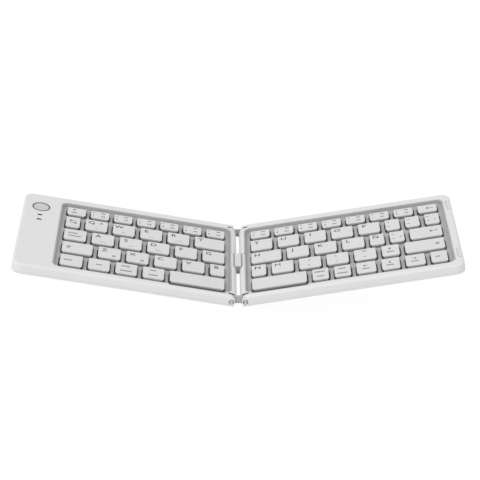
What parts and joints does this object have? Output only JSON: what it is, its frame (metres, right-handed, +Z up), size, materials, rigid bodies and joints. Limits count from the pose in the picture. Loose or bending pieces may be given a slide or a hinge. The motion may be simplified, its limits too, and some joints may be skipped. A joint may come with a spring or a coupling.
{
  "type": "folding keyboard",
  "caption": "Slim two-part keyboard that folds shut on a pair of parallel hinge pins, with low keys in sunk wells and a round power button beside one well.",
  "frame": {"origin": "on the table, under the axis of the left hinge pins, at mid depth", "axes": "+X to the right along the flat left half's length, +Y to the rear, +Z up; the hinge pins lie along Y"},
  "size_m": [0.2778, 0.098, 0.0566],
  "materials": {
    "case_white": "fine matt, pale warm grey white",
    "key_white": "satin white with grey legends",
    "bed_grey": "matt mid grey",
    "guide_grey": "satin pale grey",
    "link_steel": "matt grey painted steel",
    "pin_steel": "turned steel",
    "base_alloy": "plain rolled aluminium sheet",
    "screw_steel": "plated steel",
    "socket_steel": "folded sheet steel",
    "switch_film": "clear film with milky rubber domes",
    "board_green": "green circuit board with black parts",
    "battery_foil": "foil pouch",
    "ring_dark": "dark ring with a faint red tint",
    "button_grey": "pale grey green, satin",
    "window_dark": "smoked indicator windows",
    "foot_rubber": "matt rubber",
    "bumper_rubber": "pale translucent rubber",
    "ribbon_film": "amber film with copper tracks"
  },
  "bodies": {
    "left_half": {"left_bottom_cover": "case_white", "left_top_frame": "case_white", "left_key_bed": "bed_grey", "left_base_plate": "base_alloy", "left_switch_sheet": "switch_film", "battery": "battery_foil", "main_board": "board_green", "charging_socket": "socket_steel", "power_button_ring": "ring_dark", "indicator_windows": "window_dark", "left_hinge_pins": "pin_steel", "left_feet": "foot_rubber", "left_screws": "screw_steel"},
    "hinge_link": {"front_link_plate": "link_steel", "rear_link_plate": "link_steel", "cable_guide": "guide_grey", "ribbon_cable": "ribbon_film"},
    "right_half": {"right_bottom_cover": "case_white", "right_top_frame": "case_white", "right_key_bed": "bed_grey", "right_base_plate": "base_alloy", "right_switch_sheet": "switch_film", "right_hinge_pins": "pin_steel", "right_feet": "foot_rubber", "right_screws": "screw_steel", "bumper_pads": "bumper_rubber"},
    "power_button": {"power_button": "button_grey"},
    "key_q": {"key_q": "key_white"},
    "key_w": {"key_w": "key_white"},
    "key_e": {"key_e": "key_white"},
    "key_r": {"key_r": "key_white"},
    "key_t": {"key_t": "key_white"},
    "key_y": {"key_y": "key_white"},
    "key_u": {"key_u": "key_white"},
    "key_i": {"key_i": "key_white"},
    "key_o": {"key_o": "key_white"},
    "key_p": {"key_p": "key_white"},
    "key_a": {"key_a": "key_white"},
    "key_s": {"key_s": "key_white"},
    "key_d": {"key_d": "key_white"},
    "key_f": {"key_f": "key_white"},
    "key_g": {"key_g": "key_white"},
    "key_h": {"key_h": "key_white"},
    "key_j": {"key_j": "key_white"},
    "key_k": {"key_k": "key_white"},
    "key_l": {"key_l": "key_white"},
    "key_z": {"key_z": "key_white"},
    "key_x": {"key_x": "key_white"},
    "key_c": {"key_c": "key_white"},
    "key_v": {"key_v": "key_white"},
    "key_b": {"key_b": "key_white"},
    "key_n": {"key_n": "key_white"},
    "key_m": {"key_m": "key_white"},
    "left_space_bar": {"left_space_bar": "key_white"},
    "right_space_bar": {"right_space_bar": "key_white"},
    "left_number_keys": {"left_number_keys": "key_white"},
    "right_number_keys": {"right_number_keys": "key_white"},
    "left_side_keys": {"left_side_keys": "key_white"},
    "right_side_keys": {"right_side_keys": "key_white"},
    "right_bottom_keys": {"right_bottom_keys": "key_white"}
  },
  "joints": [
    {"name": "left_fold", "type": "hinge", "parent": "left_half", "child": "hinge_link", "pos_m": [0, 0, 0.0039], "axis": [0, -1, 0], "range_deg": [-10, 80]},
    {"name": "right_fold", "type": "hinge", "parent": "hinge_link", "child": "right_half", "pos_m": [0.00867, 0, 0.00543], "axis": [0, -1, 0], "range_deg": [-10, 80]},
    {"name": "power_press", "type": "slide", "parent": "left_half", "child": "power_button", "axis": [0, 0, -1], "range_m": [0, 0.0005], "stiffness_N_per_m": 1500},
    {"name": "key_q_press", "type": "slide", "parent": "left_half", "child": "key_q", "axis": [0, 0, -1], "range_m": [0, 0.0013], "stiffness_N_per_m": 350},
    {"name": "key_w_press", "type": "slide", "parent": "left_half", "child": "key_w", "axis": [0, 0, -1], "range_m": [0, 0.0013], "stiffness_N_per_m": 350},
    {"name": "key_e_press", "type": "slide", "parent": "left_half", "child": "key_e", "axis": [0, 0, -1], "range_m": [0, 0.0013], "stiffness_N_per_m": 350},
    {"name": "key_r_press", "type": "slide", "parent": "left_half", "child": "key_r", "axis": [0, 0, -1], "range_m": [0, 0.0013], "stiffness_N_per_m": 350},
    {"name": "key_t_press", "type": "slide", "parent": "left_half", "child": "key_t", "axis": [0, 0, -1], "range_m": [0, 0.0013], "stiffness_N_per_m": 350},
    {"name": "key_y_press", "type": "slide", "parent": "right_half", "child": "key_y", "axis": [0.342, 0, -0.9397], "range_m": [0, 0.0013], "stiffness_N_per_m": 350},
    {"name": "key_u_press", "type": "slide", "parent": "right_half", "child": "key_u", "axis": [0.342, 0, -0.9397], "range_m": [0, 0.0013], "stiffness_N_per_m": 350},
    {"name": "key_i_press", "type": "slide", "parent": "right_half", "child": "key_i", "axis": [0.342, 0, -0.9397], "range_m": [0, 0.0013], "stiffness_N_per_m": 350},
    {"name": "key_o_press", "type": "slide", "parent": "right_half", "child": "key_o", "axis": [0.342, 0, -0.9397], "range_m": [0, 0.0013], "stiffness_N_per_m": 350},
    {"name": "key_p_press", "type": "slide", "parent": "right_half", "child": "key_p", "axis": [0.342, 0, -0.9397], "range_m": [0, 0.0013], "stiffness_N_per_m": 350},
    {"name": "key_a_press", "type": "slide", "parent": "left_half", "child": "key_a", "axis": [0, 0, -1], "range_m": [0, 0.0013], "stiffness_N_per_m": 350},
    {"name": "key_s_press", "type": "slide", "parent": "left_half", "child": "key_s", "axis": [0, 0, -1], "range_m": [0, 0.0013], "stiffness_N_per_m": 350},
    {"name": "key_d_press", "type": "slide", "parent": "left_half", "child": "key_d", "axis": [0, 0, -1], "range_m": [0, 0.0013], "stiffness_N_per_m": 350},
    {"name": "key_f_press", "type": "slide", "parent": "left_half", "child": "key_f", "axis": [0, 0, -1], "range_m": [0, 0.0013], "stiffness_N_per_m": 350},
    {"name": "key_g_press", "type": "slide", "parent": "left_half", "child": "key_g", "axis": [0, 0, -1], "range_m": [0, 0.0013], "stiffness_N_per_m": 350},
    {"name": "key_h_press", "type": "slide", "parent": "right_half", "child": "key_h", "axis": [0.342, 0, -0.9397], "range_m": [0, 0.0013], "stiffness_N_per_m": 350},
    {"name": "key_j_press", "type": "slide", "parent": "right_half", "child": "key_j", "axis": [0.342, 0, -0.9397], "range_m": [0, 0.0013], "stiffness_N_per_m": 350},
    {"name": "key_k_press", "type": "slide", "parent": "right_half", "child": "key_k", "axis": [0.342, 0, -0.9397], "range_m": [0, 0.0013], "stiffness_N_per_m": 350},
    {"name": "key_l_press", "type": "slide", "parent": "right_half", "child": "key_l", "axis": [0.342, 0, -0.9397], "range_m": [0, 0.0013], "stiffness_N_per_m": 350},
    {"name": "key_z_press", "type": "slide", "parent": "left_half", "child": "key_z", "axis": [0, 0, -1], "range_m": [0, 0.0013], "stiffness_N_per_m": 350},
    {"name": "key_x_press", "type": "slide", "parent": "left_half", "child": "key_x", "axis": [0, 0, -1], "range_m": [0, 0.0013], "stiffness_N_per_m": 350},
    {"name": "key_c_press", "type": "slide", "parent": "left_half", "child": "key_c", "axis": [0, 0, -1], "range_m": [0, 0.0013], "stiffness_N_per_m": 350},
    {"name": "key_v_press", "type": "slide", "parent": "left_half", "child": "key_v", "axis": [0, 0, -1], "range_m": [0, 0.0013], "stiffness_N_per_m": 350},
    {"name": "key_b_press", "type": "slide", "parent": "left_half", "child": "key_b", "axis": [0, 0, -1], "range_m": [0, 0.0013], "stiffness_N_per_m": 350},
    {"name": "key_n_press", "type": "slide", "parent": "right_half", "child": "key_n", "axis": [0.342, 0, -0.9397], "range_m": [0, 0.0013], "stiffness_N_per_m": 350},
    {"name": "key_m_press", "type": "slide", "parent": "right_half", "child": "key_m", "axis": [0.342, 0, -0.9397], "range_m": [0, 0.0013], "stiffness_N_per_m": 350},
    {"name": "left_space_bar_press", "type": "slide", "parent": "left_half", "child": "left_space_bar", "axis": [0, 0, -1], "range_m": [0, 0.0013], "stiffness_N_per_m": 350},
    {"name": "right_space_bar_press", "type": "slide", "parent": "right_half", "child": "right_space_bar", "axis": [0.342, 0, -0.9397], "range_m": [0, 0.0013], "stiffness_N_per_m": 350},
    {"name": "left_number_keys_press", "type": "slide", "parent": "left_half", "child": "left_number_keys", "axis": [0, 0, -1], "range_m": [0, 0.0013], "stiffness_N_per_m": 350},
    {"name": "right_number_keys_press", "type": "slide", "parent": "right_half", "child": "right_number_keys", "axis": [0.342, 0, -0.9397], "range_m": [0, 0.0013], "stiffness_N_per_m": 350},
    {"name": "left_side_keys_press", "type": "slide", "parent": "left_half", "child": "left_side_keys", "axis": [0, 0, -1], "range_m": [0, 0.0013], "stiffness_N_per_m": 350},
    {"name": "right_side_keys_press", "type": "slide", "parent": "right_half", "child": "right_side_keys", "axis": [0.342, 0, -0.9397], "range_m": [0, 0.0013], "stiffness_N_per_m": 350},
    {"name": "right_bottom_keys_press", "type": "slide", "parent": "right_half", "child": "right_bottom_keys", "axis": [0.342, 0, -0.9397], "range_m": [0, 0.0013], "stiffness_N_per_m": 350}
  ]
}
